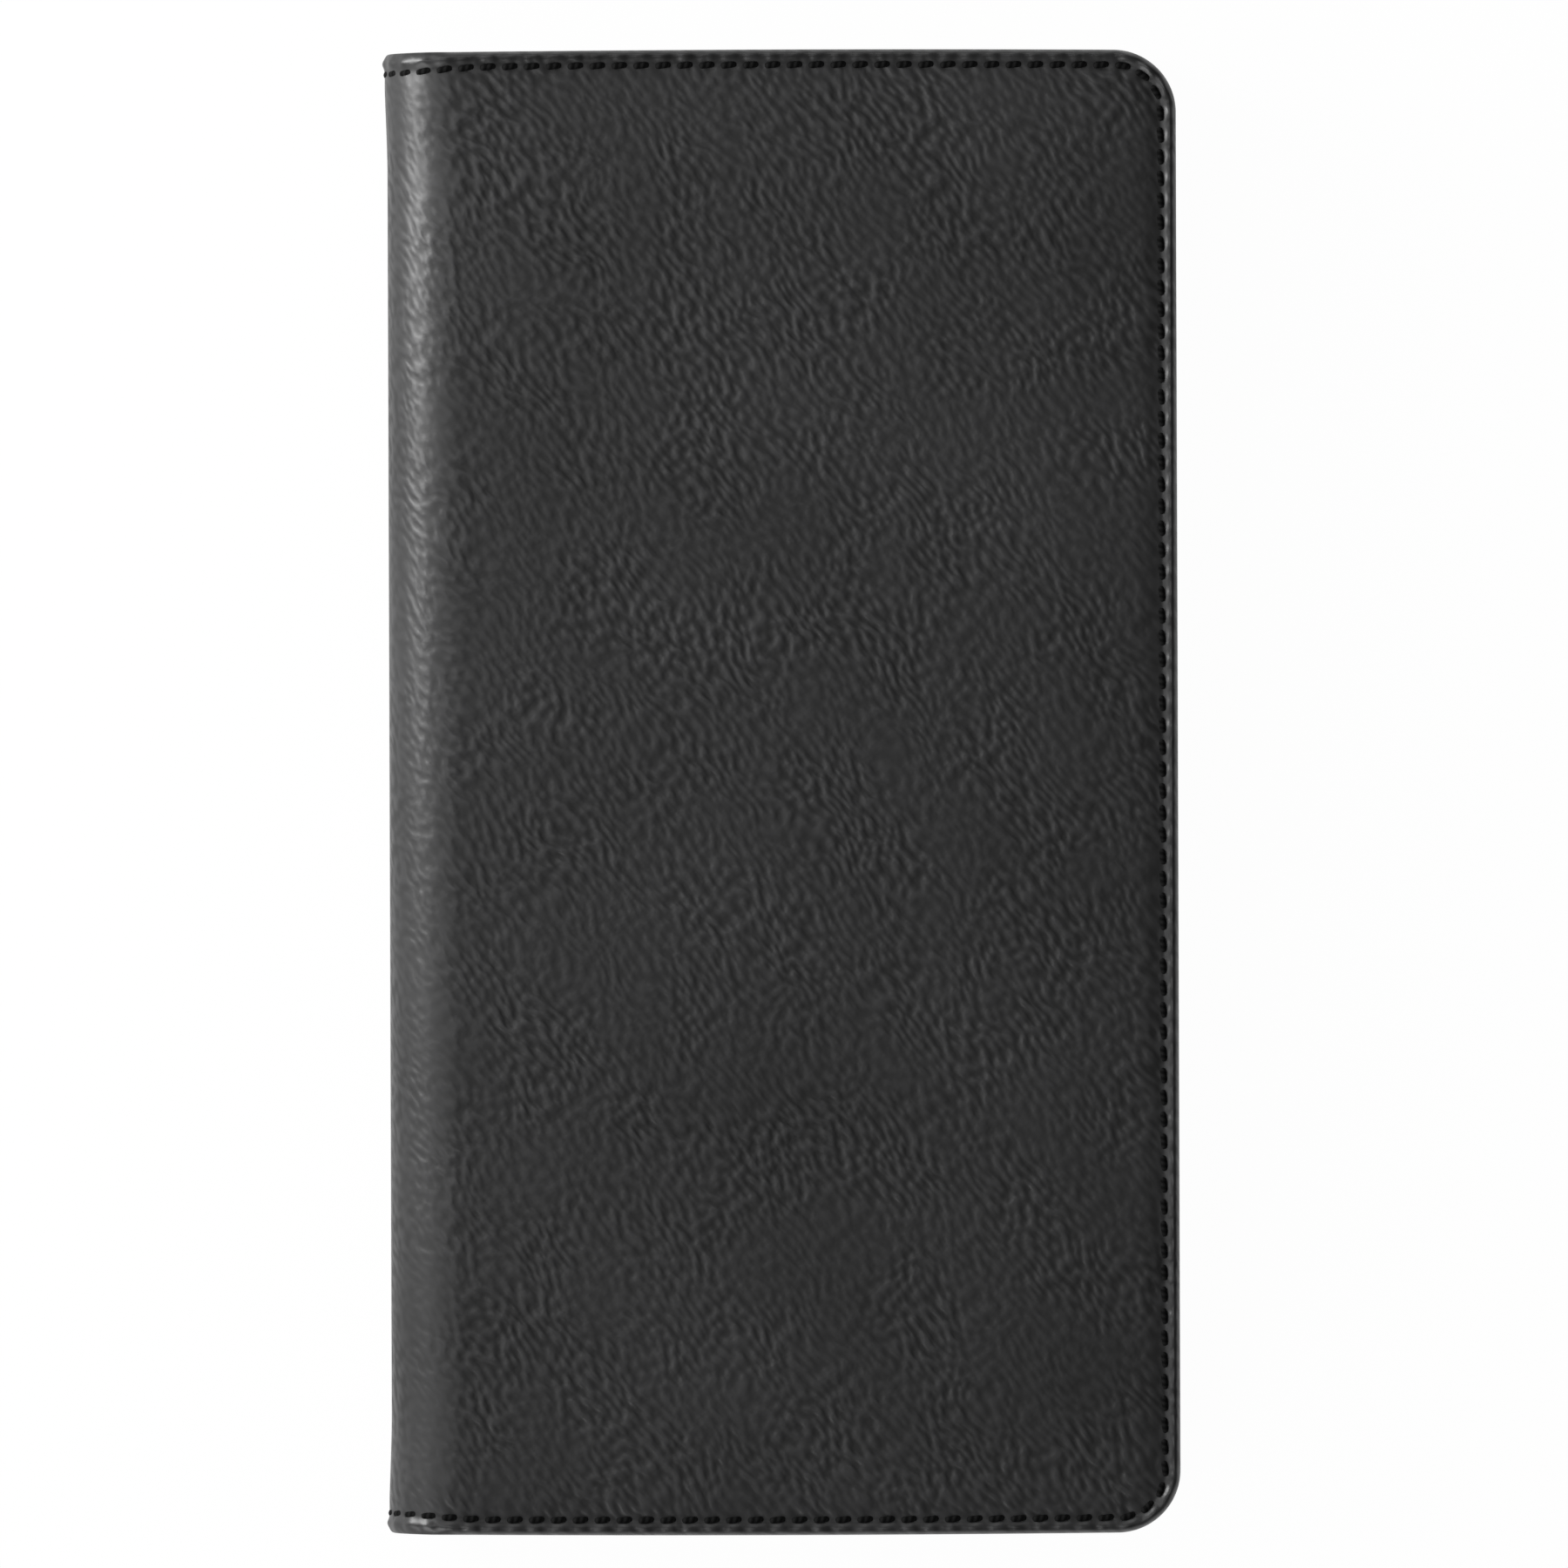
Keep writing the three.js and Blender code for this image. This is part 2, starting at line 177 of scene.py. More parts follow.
def corner_place(inset, share, block, radius):
    """Where a ring runs in a corner block; share goes from 0 at the X side to 1 at the Y side."""
    reach = block - inset
    bend = np.maximum(radius - inset, 0)
    straight = reach - bend
    arc = bend * QUARTER_TURN
    along = share * (2 * straight + arc)
    angle = np.where(bend > 0, (along - straight) / np.where(bend > 0, bend, 1), 0)
    angle = np.clip(angle, 0, QUARTER_TURN)
    on_first = along < straight
    on_last = along > straight + arc
    x = np.where(on_first, reach, straight + bend * np.cos(angle))
    y = np.where(on_first, along, straight + bend * np.sin(angle))
    x = np.where(on_last, 2 * straight + arc - along, x)
    y = np.where(on_last, reach, y)
    return x, y


def side_lines(low, high, block, rings, spacing, ringed_low):
    """One direction of a grid: each line's place, ring number and side."""
    start = low + block if ringed_low else low
    count = max(2, round((high - block - start) / spacing) + 1)
    place = np.linspace(start, high - block, count)
    if not ringed_low:
        place = np.insert(place, 1, start + JOIN)
        count += 1
    ring = np.zeros(count, int)
    side = np.zeros(count, int)
    outward = np.arange(1, rings)
    place = np.concatenate([place, np.full(rings - 1, high - block)])
    ring = np.concatenate([ring, outward])
    side = np.concatenate([side, np.ones(rings - 1, int)])
    if ringed_low:
        place = np.concatenate([np.full(rings - 1, start), place])
        ring = np.concatenate([outward[::-1], ring])
        side = np.concatenate([-np.ones(rings - 1, int), side])
    return place, ring, side


def grid_index(shape):
    """The point numbers of a grid, in its shape."""
    return np.arange(shape[0] * shape[1]).reshape(shape)


def grid_quads(index):
    """Every square of a grid, as four point numbers."""
    corners = [index[:-1, :-1], index[1:, :-1], index[1:, 1:], index[:-1, 1:]]
    return np.stack(corners, -1).reshape(-1, 4)


def grid_border(index):
    """The outermost loop of points, in order."""
    return np.concatenate([index[:-1, 0], index[-1, :-1], index[:0:-1, -1], index[0, :0:-1]])


class RingedGrid:
    """A grid over a round-cornered rectangle. Ring 0 lies deepest inside and the last ring outermost.

    radii are the corners at (low x, low y), (high x, low y), (high x, high y) and (low x, high y).
    """

    def __init__(self, x_span, y_span, radii, insets, spacing, ringed_low_x=True):
        insets = np.asarray(insets)
        block = insets[0]
        xs, ring_x, side_x = side_lines(*x_span, block, len(insets), spacing, ringed_low_x)
        ys, ring_y, side_y = side_lines(*y_span, block, len(insets), spacing, True)
        base_x, base_y = np.meshgrid(xs, ys, indexing="ij")
        ring_x, ring_y = np.meshgrid(ring_x, ring_y, indexing="ij")
        self.side_x, self.side_y = np.meshgrid(side_x, side_y, indexing="ij")
        self.ring = np.maximum(ring_x, ring_y)
        self.inset = insets[self.ring]
        most = np.maximum(self.ring, 1)
        self.share = np.where(ring_x >= ring_y, ring_y / most / 2, 1 - ring_x / most / 2)
        radius = np.select(
            [(self.side_x <= 0) & (self.side_y <= 0), (self.side_x > 0) & (self.side_y <= 0),
             (self.side_x > 0) & (self.side_y > 0)], radii[:3], radii[3])
        reach_x, reach_y = corner_place(self.inset, self.share, block, radius)
        self.corner = (ring_x > 0) & (ring_y > 0)
        reach_x = np.where(self.corner, reach_x, np.where(ring_x > 0, block - self.inset, 0))
        reach_y = np.where(self.corner, reach_y, np.where(ring_y > 0, block - self.inset, 0))
        self.base_x, self.base_y = base_x, base_y
        self.x = base_x + self.side_x * reach_x
        self.y = base_y + self.side_y * reach_y
        self.shape = self.x.shape

    def pattern(self, lengths):
        """Flat-pattern coordinates, with each ring at its length along the sheet from ring 0."""
        reach = lengths[self.ring]
        turn = self.share * QUARTER_TURN
        along_x = np.where(self.corner, np.cos(turn), self.side_x != 0)
        along_y = np.where(self.corner, np.sin(turn), self.side_y != 0)
        u = self.base_x + self.side_x * reach * along_x
        v = self.base_y + self.side_y * reach * along_y
        return np.stack([u, v], -1).reshape(-1, 2)

    def faces(self):
        return grid_quads(grid_index(self.shape)).tolist()

    def border(self):
        return grid_border(grid_index(self.shape)).tolist()


def ring_lengths(insets, levels):
    """Length along a sheet's cross-section from ring 0 to each ring."""
    steps = np.hypot(np.diff(insets), np.diff(levels))
    return np.concatenate([[0], np.cumsum(steps)])


def smoothstep(value):
    """0 below 0, 1 above 1, and a soft rise between."""
    value = np.clip(value, 0, 1)
    return value * value * (3 - 2 * value)


def hump(value, centre, width):
    """1 at the centre, falling away softly over a width."""
    return np.exp(-(((value - centre) / width) ** 2))


def mesh_piece(name, points, faces, pattern, material, flip=False):
    """A smooth mesh in the scene, with its flat pattern in metres as its UV map."""
    mesh = bpy.data.meshes.new(name)
    if flip:
        faces = [face[::-1] for face in faces]
    mesh.from_pydata(np.asarray(points).reshape(-1, 3).tolist(), [], faces)
    mesh.update()
    corners = np.zeros(len(mesh.loops), int)
    mesh.loops.foreach_get("vertex_index", corners)
    layer = mesh.uv_layers.new(name="Pattern")
    layer.data.foreach_set("uv", np.asarray(pattern, np.float32)[corners].ravel())
    mesh.polygons.foreach_set("use_smooth", np.ones(len(mesh.polygons), bool))
    mesh.materials.append(material)
    piece = bpy.data.objects.new(name, mesh)
    bpy.context.scene.collection.objects.link(piece)
    return piece


def paint(piece, name, amounts):
    """Keeps an amount from 0 to 1 at each point, for a material to read."""
    layer = piece.data.attributes.new(name, "FLOAT", "POINT")
    layer.data.foreach_set("value", np.asarray(amounts, np.float32).ravel())


# Places on a cover, given by its flat pattern: u from the edge of the fold, v along Y, depth below the skin


def toward_fold(u):
    """0 on the flat of a cover, rising to 1 round the fold."""
    return smoothstep((FOLD_START - u) / FOLD_EASE)


def round_fold(u, width):
    """0 up to the edge of the fold, rising to 1 at a width round it."""
    return smoothstep(-u / width)


def on_cover(side, u, v, depth, flare=0.0):
    """Points in space for places on a cover; flare opens the ends of the fold."""
    u, v, depth = np.broadcast_arrays(u, v, depth)
    angle = np.maximum(-u, 0) / FOLD_RADIUS
    bend = smoothstep(angle / FLARE_TURN)
    end = smoothstep((np.abs(v) - HALF_HEIGHT + FLARE_REACH) / FLARE_REACH)
    radius = FOLD_RADIUS - depth + flare * bend * end
    x = FOLD_X + np.maximum(u, 0) - radius * np.sin(angle)
    z = np.where(u >= 0, depth, FOLD_RADIUS - radius * np.cos(angle))
    if side == "front":
        z = THICKNESS - z
    return np.stack([x, v, z], -1)


def drawn_in(u, v):
    """Moves pattern places as sewing does: ends bow a little, and the seam drifts inwards over the fold."""
    across = np.clip((2 * u - FLAT - MID_FOLD / 2) / (FLAT - MID_FOLD / 2), -1, 1)
    bow = END_BOW * across ** 2 * np.clip(np.abs(v) / HALF_HEIGHT, 0, 1) ** 4
    inset = np.clip(HALF_HEIGHT - np.abs(v), 0, None) / DRIFT_INSET
    drift = SEAM_DRIFT * toward_fold(u) * inset * np.exp(1 - inset)
    return u, v - np.sign(v) * (bow + drift)


def blend_over_fold(piece, side):
    """Bakes a piece's placement into its mesh."""
    start = on_cover(side, 0.0, 0.0, 0.0)
    end = on_cover(side, MID_FOLD, 0.0, 0.0)
    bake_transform(piece)


class Seam:
    """The stitched line round a cover, measured from the middle of the fold at its lower end."""

    def __init__(self, sizes):
        self.inset = sizes.stitch_inset
        self.radius = sizes.corner_radius - sizes.stitch_inset
        self.turn = FLAT - sizes.corner_radius
        self.top = HALF_HEIGHT - sizes.corner_radius
        self.quarter = self.radius * QUARTER_TURN
        edge = self.turn - MID_FOLD
        self.marks = np.cumsum([0, edge, self.quarter, 2 * self.top, self.quarter, edge])
        self.count = round(self.marks[-1] / sizes.stitch_pitch)
        self.pitch = self.marks[-1] / self.count

    def place(self, length):
        """Pattern place and direction at a length along the seam."""
        _, corner_1, outer, corner_2, upper, _ = self.marks
        end = HALF_HEIGHT - self.inset
        if length < corner_1:
            return (MID_FOLD + length, -end), (1.0, 0.0)
        if length < outer:
            angle = (length - corner_1) / self.radius
            cos, sin = math.cos(angle), math.sin(angle)
            return (self.turn + self.radius * sin, -self.top - self.radius * cos), (cos, sin)
        if length < corner_2:
            return (self.turn + self.radius, length - outer - self.top), (0.0, 1.0)
        if length < upper:
            angle = (length - corner_2) / self.radius
            cos, sin = math.cos(angle), math.sin(angle)
            return (self.turn + self.radius * cos, self.top + self.radius * sin), (-sin, cos)
        return (self.turn - (length - upper), end), (-1.0, 0.0)

    def along(self, grid):
        """Length along the seam beside each point of a cover's grid."""
        _, corner_1, outer, corner_2, upper, _ = self.marks
        on_lower = grid.base_x - MID_FOLD
        on_upper = upper + self.turn - grid.base_x
        on_outer = outer + grid.base_y + self.top
        on_low_corner = corner_1 + self.quarter * (1 - grid.share)
        on_high_corner = corner_2 + self.quarter * grid.share
        right = grid.side_x > 0
        low = grid.side_y < 0
        high = grid.side_y > 0
        cases = [right & low, right & high, right, low, high]
        return np.select(cases, [on_low_corner, on_high_corner, on_outer, on_lower, on_upper], 0.0)


def cover_section(sizes):
    """Insets and depths of a cover's rings: flat leather, the seam, the bead and the turned edge."""
    roll = sizes.edge_roll
    fine_from = 4 * MM
    fine_step = 0.2 * MM
    hem_end = roll + 0.5 * MM
    lip = roll + 0.6 * MM
    lip_height = 0.4 * MM
    inner = np.linspace(sizes.corner_radius, fine_from, 6)[:-1]
    fine = np.arange(fine_from, roll, -fine_step)
    turn = np.radians(np.linspace(-90, 90, 13))
    rolled = roll * (1 - np.cos(turn))
    insets = np.concatenate([inner, fine, rolled, [hem_end, lip]])
    depths = np.concatenate([0 * inner, 0 * fine, RIM / 2 * (1 + np.sin(turn)), [RIM, RIM - lip_height]])
    return insets, depths


def seam_relief(sizes, grid, depth, phase):
    """Adds the drawn-down seam and the puckered bead to a cover's depths."""
    inner_slope = 1.5 * MM
    outer_slope = 0.7 * MM
    bead_inset = 0.85 * MM
    bead_width = 0.5 * MM
    slope = np.where(grid.inset > sizes.stitch_inset, inner_slope, outer_slope)
    drawn = hump(grid.inset, sizes.stitch_inset, slope) * (1 - 0.8 * round_fold(grid.x, SEAM_FADE))
    bead = hump(grid.inset, bead_inset, bead_width)
    facing = depth < RIM / 2
    under_stitch = 0.5 - 0.5 * np.cos(phase)
    pull = sizes.channel_depth * drawn * (0.72 + 0.28 * under_stitch)
    swell = sizes.bead_height * bead * (1.05 * under_stitch + 0.15)
    return depth + np.where(facing, pull - swell, 0)


def cover_swell(sizes, grid):
    """Soft rise of the leather over the board, with slow, shallow waves."""
    seam_edge = 2.5 * MM
    edge_rise = 14 * MM
    fold_edge = -4 * MM
    fold_rise = 16 * MM
    from_edge = np.minimum(FLAT - grid.x, HALF_HEIGHT - np.abs(grid.y))
    inside = smoothstep((from_edge - seam_edge) / edge_rise)
    flat = smoothstep((grid.x - fold_edge) / fold_rise)
    longest = max(length for length, _, _ in WAVES)
    waves = 0.0
    for length, tilt, start in WAVES:
        run = grid.x * math.cos(tilt) + grid.y * math.sin(tilt)
        waves = waves + np.sin(run * 2 * math.pi / (length * MM) + start) * length / longest
    return inside * flat * (sizes.crown + WAVE_HEIGHT * waves)


def make_cover_skin(sizes, side, material):
    """One cover's leather, from its turned edge to the middle of the fold."""
    insets, depths = cover_section(sizes)
    radius = sizes.corner_radius
    grid = RingedGrid((MID_FOLD, FLAT), (-HALF_HEIGHT, HALF_HEIGHT), (0, radius, radius, 0),
                      insets, sizes.grid, ringed_low_x=False)
    seam = Seam(sizes)
    phase = seam.along(grid) / seam.pitch * 2 * math.pi
    shallow = 1 - 0.6 * round_fold(grid.x, HEM_FADE)
    depth = seam_relief(sizes, grid, depths[grid.ring] * shallow, phase)
    depth = depth - cover_swell(sizes, grid)
    points = on_cover(side, *drawn_in(grid.x, grid.y), depth, sizes.flare)
    pattern = grid.pattern(ring_lengths(insets, depths))
    piece = mesh_piece(f"{side}_cover_skin", points, grid.faces(), pattern, material, side == "back")
    rub_inset = 0.9 * MM
    rub_width = 0.7 * MM
    hem_width = 2.6 * MM
    paint(piece, "rubbed", hump(grid.inset, rub_inset, rub_width) * (depths[grid.ring] < RIM / 2))
    over_hem = smoothstep((hem_width - grid.inset) / MM)
    paint(piece, "stretched", np.maximum(toward_fold(grid.x), over_hem))
    blend_over_fold(piece, side)
    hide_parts(f"{side}_cover_leather", "spine_leather")


# Threads


def stitch_points(length, width, sink):
    """One stitch as rings of (along, across, depth): a short length of thread that dives at both ends."""
    steps = np.linspace(-1, 1, 9)
    turns = np.radians(np.arange(0, 360, 45))
    step, turn = np.meshgrid(steps, turns, indexing="ij")
    tip = 0.04
    thin = np.sqrt(np.clip(1 + tip - np.abs(step) ** 5, tip, 1))
    along = step * length / 2
    across = np.cos(turn) * thin * width / 2
    dive = THREAD_FLATNESS * width * np.abs(step) ** 4
    depth = sink + dive - np.sin(turn) * thin * width * THREAD_FLATNESS
    return along, across, depth


def tube_faces(first, rings, sides):
    """Faces of a closed tube whose rings of points follow each other from a first point number."""
    faces = []
    for ring in range(rings - 1):
        for side in range(sides):
            here = first + ring * sides + side
            beside = first + ring * sides + (side + 1) % sides
            faces.append([here, beside, beside + sides, here + sides])
    last = first + (rings - 1) * sides
    faces.append(list(range(first + sides - 1, first - 1, -1)))
    faces.append(list(range(last, last + sides)))
    return faces


def stitch_run(places, length, width, sink, slant, put):
    """Mesh data for stitches at (place, direction) pairs; put turns pattern places into space."""
    along, across, depth = stitch_points(length, width, sink)
    rings, sides = along.shape
    twist = np.stack([along / length, np.arange(sides)[None, :] / sides + 0 * along], -1).reshape(-1, 2)
    points, faces, pattern = [], [], []
    for number, ((u, v), (du, dv)) in enumerate(places):
        turned_u = du * math.cos(slant) - dv * math.sin(slant)
        turned_v = du * math.sin(slant) + dv * math.cos(slant)
        stitch_u = u + along * turned_u - across * turned_v
        stitch_v = v + along * turned_v + across * turned_u
        faces.extend(tube_faces(len(points) * rings * sides, rings, sides))
        points.append(put(stitch_u, stitch_v, depth).reshape(-1, 3))
        pattern.append(twist + [number, 0])
    return np.concatenate(points), faces, np.concatenate(pattern)


def make_cover_stitches(sizes, side, material):
    """The seam round one cover and over its half of the fold."""
    seam = Seam(sizes)
    places = [seam.place((i + 0.5) * seam.pitch) for i in range(seam.count)]

    def put(u, v, depth):
        lifted = depth - COVER_STITCH_LIFT * round_fold(u, SEAM_FADE)
        return on_cover(side, *drawn_in(u, v), lifted, sizes.flare)

    points, faces, pattern = stitch_run(
        places, sizes.stitch_length, sizes.thread_width, COVER_STITCH_SINK, COVER_STITCH_SLANT, put)
    piece = mesh_piece(f"{side}_cover_stitches", points, faces, pattern, material, side == "front")
    blend_over_fold(piece, side)
    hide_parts(f"{side}_seam_thread", "spine_upper_seam_thread", "spine_lower_seam_thread")


# Sheets that follow the inside of the fold


def fold_sheet(name, side, places, half_length, thickness, material):
    """A thin sheet through the given (u, depth) places of a cover, the same length each way along Y."""
    u, depth = np.array(places).T
    lengths = ring_lengths(u, depth)
    row_step = 4 * MM
    rows = np.linspace(-half_length, half_length, 2 * round(half_length / row_step) + 1)
    grid_u, grid_v = np.meshgrid(u, rows, indexing="ij")
    grid_depth = np.broadcast_to(depth[:, None], grid_u.shape)
    inner = on_cover(side, grid_u, grid_v, grid_depth)
    outer = on_cover(side, grid_u, grid_v, grid_depth - thickness)
    index = grid_index(grid_u.shape)
    upper = grid_quads(index)
    lower = upper[:, ::-1] + index.size
    loop = grid_border(index)
    after = np.roll(loop, -1)
    rim = np.stack([after, loop, loop + index.size, after + index.size], -1)
    faces = np.concatenate([upper, lower, rim]).tolist()
    points = np.concatenate([inner.reshape(-1, 3), outer.reshape(-1, 3)])
    pattern = np.stack([np.broadcast_to(lengths[:, None], grid_u.shape), grid_v], -1).reshape(-1, 2)
    pattern = np.concatenate([pattern, pattern])
    piece = mesh_piece(name, points, faces, pattern, material, side == "front")
    blend_over_fold(piece, side)
    return piece, lengths[-1]


def make_lining(side, material):
    """The woven lining: over the board, down past its edge and round to the middle of the fold."""
    ramp_width = 3 * MM
    flat_from = 6 * MM
    end_margin = 4 * MM
    hem_cover = 1.6 * MM
    fold_depth = FOLD_RADIUS - TAPE_OUTER + TAPE_SHEET + BOND + LINING_SHEET
    turn = np.insert(np.linspace(MID_FOLD, 0, 25), 1, MID_FOLD + JOIN)
    ramp = smoothstep(np.linspace(0, 1, 8))[1:]
    places = [(u, fold_depth) for u in turn]
    places += [(ramp_width * (step + 1) / len(ramp), fold_depth + (RIM - fold_depth) * rise)
               for step, rise in enumerate(ramp)]
    end = BOARD_END - FOLD_X - end_margin
    places += [(u, RIM) for u in np.linspace(flat_from, end, 12)]
    half = HALF_HEIGHT - hem_cover
    piece, width = fold_sheet(f"{side}_lining_sheet", side, places, half, LINING_SHEET, material)
    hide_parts(f"{side}_lining", "spine_lining")


def make_fold_tape(side, material):
    """The reinforcing tape glued inside the fold, between the two hems."""
    hem_clear = 6.3 * MM
    depth = FOLD_RADIUS - TAPE_OUTER + TAPE_SHEET
    places = [(u, depth) for u in np.linspace(MID_FOLD, MID_FOLD / 2, 12)]
    half = HALF_HEIGHT - hem_clear
    piece, _ = fold_sheet(f"{side}_fold_tape", side, places, half, TAPE_SHEET, material)
    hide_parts("spine_reinforcement_tape")


# Panels and card slots


def panel_section(sheet, block):
    """Insets and depths of a thin leather panel's rings: pressed crease, rounded edge and underside."""
    edge = sheet / 2
    fine_from = 2.4 * MM
    fine_step = 0.15 * MM
    crease_depth = 0.13 * MM
    crease_width = 0.22 * MM
    underside = 2 * MM
    inner = np.array([block, 4.5 * MM, 3.2 * MM])
    fine = np.arange(fine_from, edge, -fine_step)
    turn = np.radians(np.linspace(-90, 90, 7))
    insets = np.concatenate([inner, fine, edge * (1 - np.cos(turn)), [underside]])
    crease = crease_depth * hump(fine, SLOT_STITCH_INSET, crease_width)
    depths = np.concatenate([0 * inner, crease, edge * (1 + np.sin(turn)), [sheet]])
    return insets, depths


def soft_panel(low, high, radii, sheet, up):
    """A thin leather panel with its upper face at the box's inner side; returns points, faces and pattern."""
    block = 7 * MM
    spacing = 3 * MM
    mouth_lift = 0.1 * MM
    lift_reach = 9 * MM
    insets, depths = panel_section(sheet, block)
    grid = RingedGrid((low.x, high.x), (low.y, high.y), radii, insets, spacing)
    face = high.z if up else low.z
    from_mouth = (grid.x - low.x) / lift_reach
    across = (grid.y - low.y) / (high.y - low.y)
    lift = mouth_lift * np.exp(-from_mouth) * np.sin(math.pi * np.clip(across, 0, 1)) ** 2
    depth = depths[grid.ring] - lift
    z = face - depth if up else face + depth
    points = np.stack([grid.x, grid.y, z], -1).reshape(-1, 3)
    faces = grid.faces() + [grid.border()[::-1]]
    pattern = grid.pattern(ring_lengths(insets, depths))
    return points, faces, pattern


def hem_path(low, high, radii, inset):
    """The middle of a panel's sewn margin on its three sewn sides, from one end of the mouth to the other."""
    mouth = low.x + 0.4 * MM
    least_bend = 0.6 * MM
    path = [(mouth, low.y + inset)]
    for y, inward, radius, start in ((low.y, 1, radii[1], -90), (high.y, -1, radii[2], 0)):
        bend = max(radius - inset, least_bend)
        centre_x = high.x - (bend + inset)
        centre_y = y + inward * (bend + inset)
        for angle in np.radians(np.linspace(start, start + 90, 7)):
            path.append((centre_x + bend * math.cos(angle), centre_y + bend * math.sin(angle)))
    path.append((mouth, high.y - inset))
    return np.array(path)


def path_normals(path):
    """Unit vectors square to a flat path, one at each of its points."""
    ahead = np.roll(path, -1, 0) - path
    ahead[-1] = path[-1] - path[-2]
    behind = np.roll(ahead, 1, 0)
    behind[0] = ahead[0]
    ahead /= np.linalg.norm(ahead, axis=1)[:, None]
    behind /= np.linalg.norm(behind, axis=1)[:, None]
    normal = np.stack([ahead[:, 1] + behind[:, 1], -ahead[:, 0] - behind[:, 0]], -1)
    return normal / np.linalg.norm(normal, axis=1)[:, None]


def soft_hem(path, z_low, z_high, width):
    """The doubled margin under a panel: a flat strip with round edges along a path."""
    thick = z_high - z_low
    turn = np.radians(np.linspace(-90, 90, 5))
    half = np.stack([width / 2 - thick / 2 + thick / 2 * np.cos(turn), thick / 2 * np.sin(turn)], -1)
    section = np.concatenate([half, -half])
    normal = path_normals(path)
    rings = []
    for place, out in zip(path, normal):
        x = place[0] + section[:, 0] * out[0]
        y = place[1] + section[:, 0] * out[1]
        rings.append(np.stack([x, y, (z_low + z_high) / 2 + section[:, 1]], -1))
    sides = len(section)
    faces = tube_faces(0, len(rings), sides)
    points = np.concatenate(rings)
    return points, faces, points[:, :2]


def panel_radii(bank):
    """Corner radii of a slot panel: small at the mouth, wide at the cover's corner."""
    mouth, outer, inner = 1.5 * MM, 6.5 * MM, 1.2 * MM
    if bank == "upper":
        return (mouth, inner, outer, mouth)
    if bank == "lower":
        return (mouth, outer, inner, mouth)
    return (mouth, outer, outer, mouth)


def make_panel(node, side, bank, sheet, material):
    """A note pocket panel or card slot, with the doubled margin that it is sewn down by."""
    low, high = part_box(node)
    up = side == "back"
    radii = panel_radii(bank)
    points, faces, pattern = soft_panel(low, high, radii, sheet, up)
    hem_low = low.z if up else low.z + sheet
    hem_high = high.z - sheet if up else high.z
    hem_width = SEAM - 0.1 * MM
    path = hem_path(low, high, radii, SEAM / 2)
    hem_points, hem_faces, hem_pattern = soft_hem(path, hem_low, hem_high, hem_width)
    first = len(points)
    faces = [face if up else face[::-1] for face in faces]
    faces += [[corner + first for corner in face] for face in hem_faces]
    piece = mesh_piece(f"{node}_leather", np.concatenate([points, hem_points]), faces,
                       np.concatenate([pattern, hem_pattern]), material)
    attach(piece, BODIES[side])
    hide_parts(node)


def slot_stitch_places(low, high, radii, stop_x, pitch):
    """Stitch places along a slot panel's sewn sides; stop_x is where the next panel covers it, or None."""
    end_gap = MM
    path = hem_path(low, high, radii, SLOT_STITCH_INSET)
    steps = np.diff(path, axis=0)
    lengths = np.linalg.norm(steps, axis=1)
    marks = np.concatenate([[0], np.cumsum(lengths)])
    count = int((marks[-1] - 2 * end_gap) / pitch)
    places = []
    for number in range(count):
        length = end_gap + (number + 0.5) * pitch
        step = min(np.searchsorted(marks, length) - 1, len(steps) - 1)
        share = (length - marks[step]) / lengths[step]
        place = path[step] + share * steps[step]
        if stop_x is None or place[0] < stop_x - SLOT_STITCH_INSET:
            places.append((tuple(place), tuple(steps[step] / lengths[step])))
    return places


def put_on_panel(face, up):
    """A function that puts flat places at a depth below a panel's face."""
    def put(x, y, depth):
        z = face - depth if up else face + depth
        return np.stack([x, y, z], -1)

    return put


def make_slot_stitches(sizes, side, material):
    """The stitches that hold one cover's card slots down."""
    points, faces, pattern = [], [], []
    first = 0
    up = side == "back"
    for bank in BANKS:
        for row in ROWS:
            low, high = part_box(f"{side}_{bank}_card_slot_{row}")
            next_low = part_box(f"{side}_{bank}_card_slot_{row + 1}")[0].x if row < ROWS[-1] else None
            places = slot_stitch_places(low, high, panel_radii(bank), next_low, sizes.stitch_pitch)
            put = put_on_panel(high.z if up else low.z, up)
            run_points, run_faces, run_pattern = stitch_run(
                places, SLOT_STITCH_LENGTH, SLOT_THREAD, SLOT_STITCH_SINK, 0.0, put)
            points.append(run_points)
            faces += [[corner + first for corner in face] for face in run_faces]
            pattern.append(run_pattern)
            first += len(run_points)
    piece = mesh_piece(f"{side}_slot_stitches", np.concatenate(points), faces,
                       np.concatenate(pattern), material, not up)
    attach(piece, BODIES[side])


# Finishes

FURROW_SLANT = 0.88
# Painted shade from the grain's relief: shares of the leather colour in a furrow (dark) and on a ridge
# (light)
FURROW_PAINTED_SHADE = 0.05
RIDGE_PAINTED_LIGHT = 1.65
RUBBED_ROUGHNESS = 0.36
STRETCHED_GRAIN = 0.45


def node_group(name, inputs, outputs):
    """A new shader group with (name, socket type, default) inputs and float outputs."""
    group = bpy.data.node_groups.new(name, "ShaderNodeTree")
    for label, kind, default in inputs:
        socket = group.interface.new_socket(label, in_out="INPUT", socket_type=kind)
        if default is not None:
            socket.default_value = default
    for label in outputs:
        group.interface.new_socket(label, in_out="OUTPUT", socket_type="NodeSocketFloat")
    return group, group.nodes.new("NodeGroupInput"), group.nodes.new("NodeGroupOutput")


